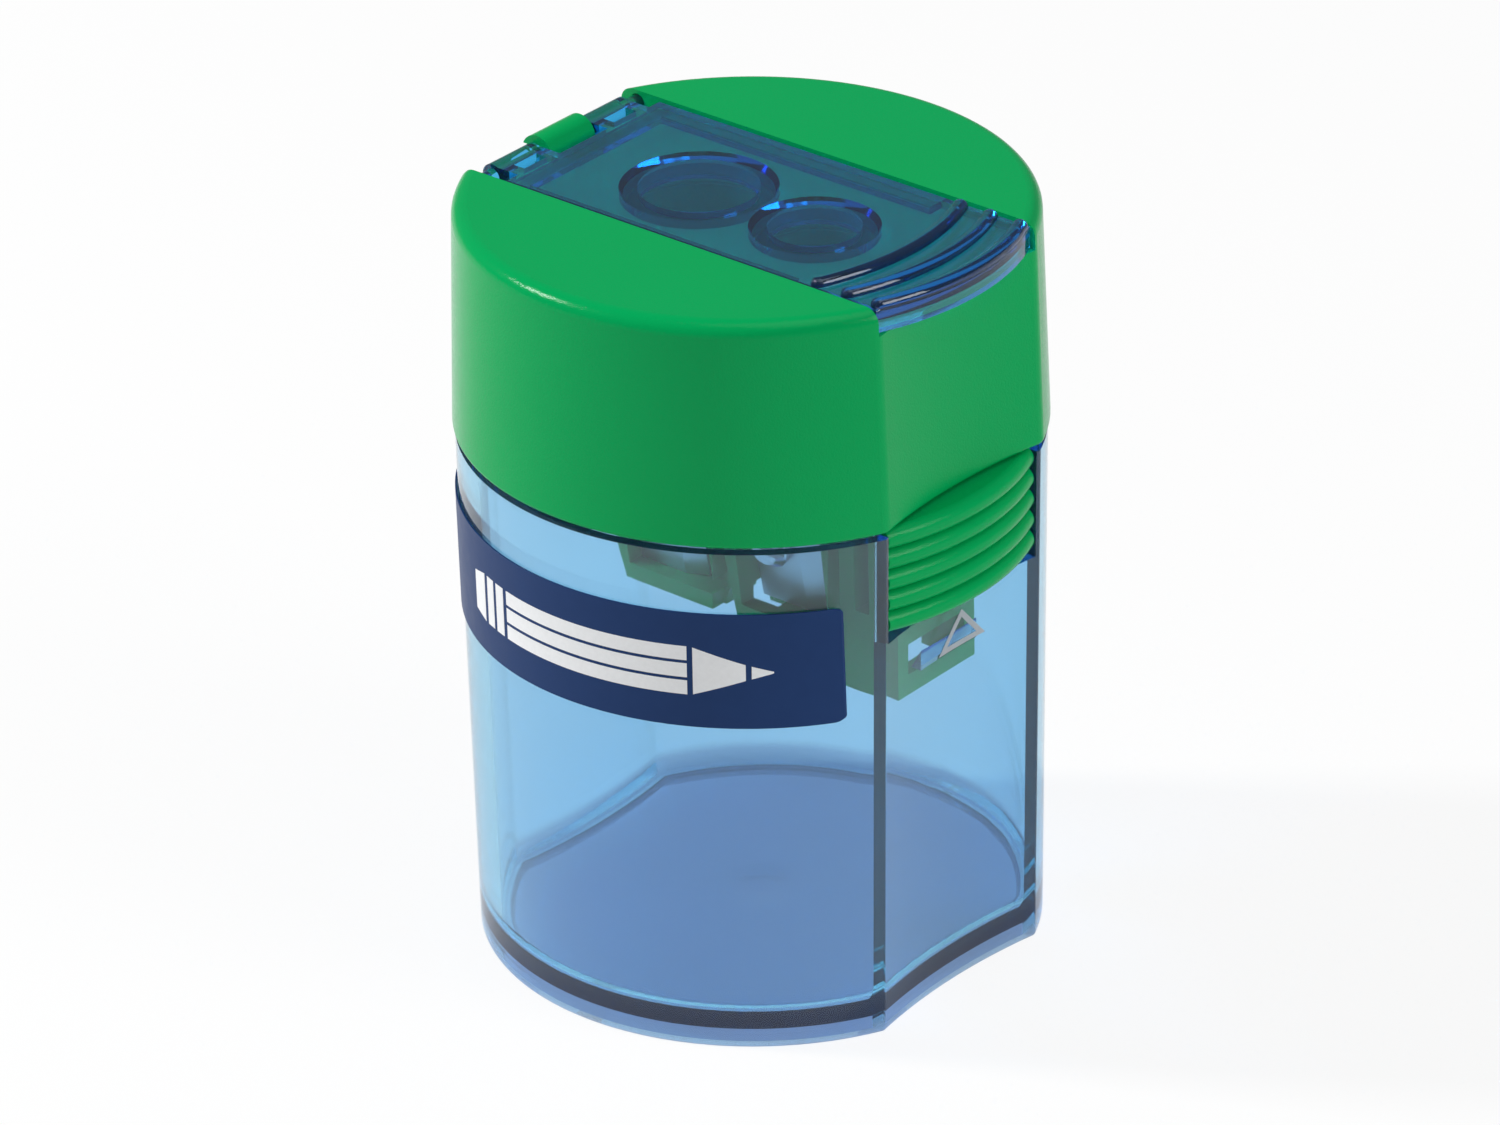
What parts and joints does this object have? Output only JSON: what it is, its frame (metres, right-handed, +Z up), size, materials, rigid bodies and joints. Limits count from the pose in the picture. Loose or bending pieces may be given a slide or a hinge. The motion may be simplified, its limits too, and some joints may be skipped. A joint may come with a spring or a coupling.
{
  "type": "tub pencil sharpener",
  "caption": "Desk-top tub pencil sharpener with a see-through shavings tub, an opaque press-to-release cap, a hinged see-through dust flap and holes for thick and thin pencils.",
  "frame": {"origin": "on the table plane under the middle of the tub's foot", "axes": "+Z up; the front with the press pad and the flap's lip faces -Y, the flap's hinge is at +Y, +X is to the right seen from the front"},
  "size_m": [0.042, 0.0401, 0.0577],
  "materials": {
    "clear_blue": "see-through light blue, polished",
    "clear_blue_flap": "see-through blue, polished",
    "green_plastic": "satin, fine moulded grain",
    "navy_foil": "printed foil, satin",
    "blade_steel": "ground steel",
    "screw_steel": "bright plated steel"
  },
  "bodies": {
    "tub_body": {"tub": "clear_blue", "tub_label": "navy_foil"},
    "cap_body": {"cap": "green_plastic", "sharpener_block": "green_plastic", "large_blade": "blade_steel", "small_blade": "blade_steel", "large_blade_screw": "screw_steel", "small_blade_screw": "screw_steel"},
    "flap_body": {"flap": "clear_blue_flap"},
    "tab_body": {"press_tab": "green_plastic"}
  },
  "joints": [
    {"name": "cap_lift", "type": "slide", "parent": "tub_body", "child": "cap_body", "axis": [0, 0, 1], "range_m": [0, 0.03]},
    {"name": "flap_hinge", "type": "hinge", "parent": "cap_body", "child": "flap_body", "pos_m": [0, 0.0174, 0.05625], "axis": [-1, 0, 0], "range_deg": [0, 110]},
    {"name": "press_tab_hinge", "type": "hinge", "parent": "cap_body", "child": "tab_body", "pos_m": [0, -0.01505, 0.0485], "axis": [1, 0, 0], "range_deg": [0, 4.5], "stiffness_Nm_per_rad": 1.2}
  ]
}
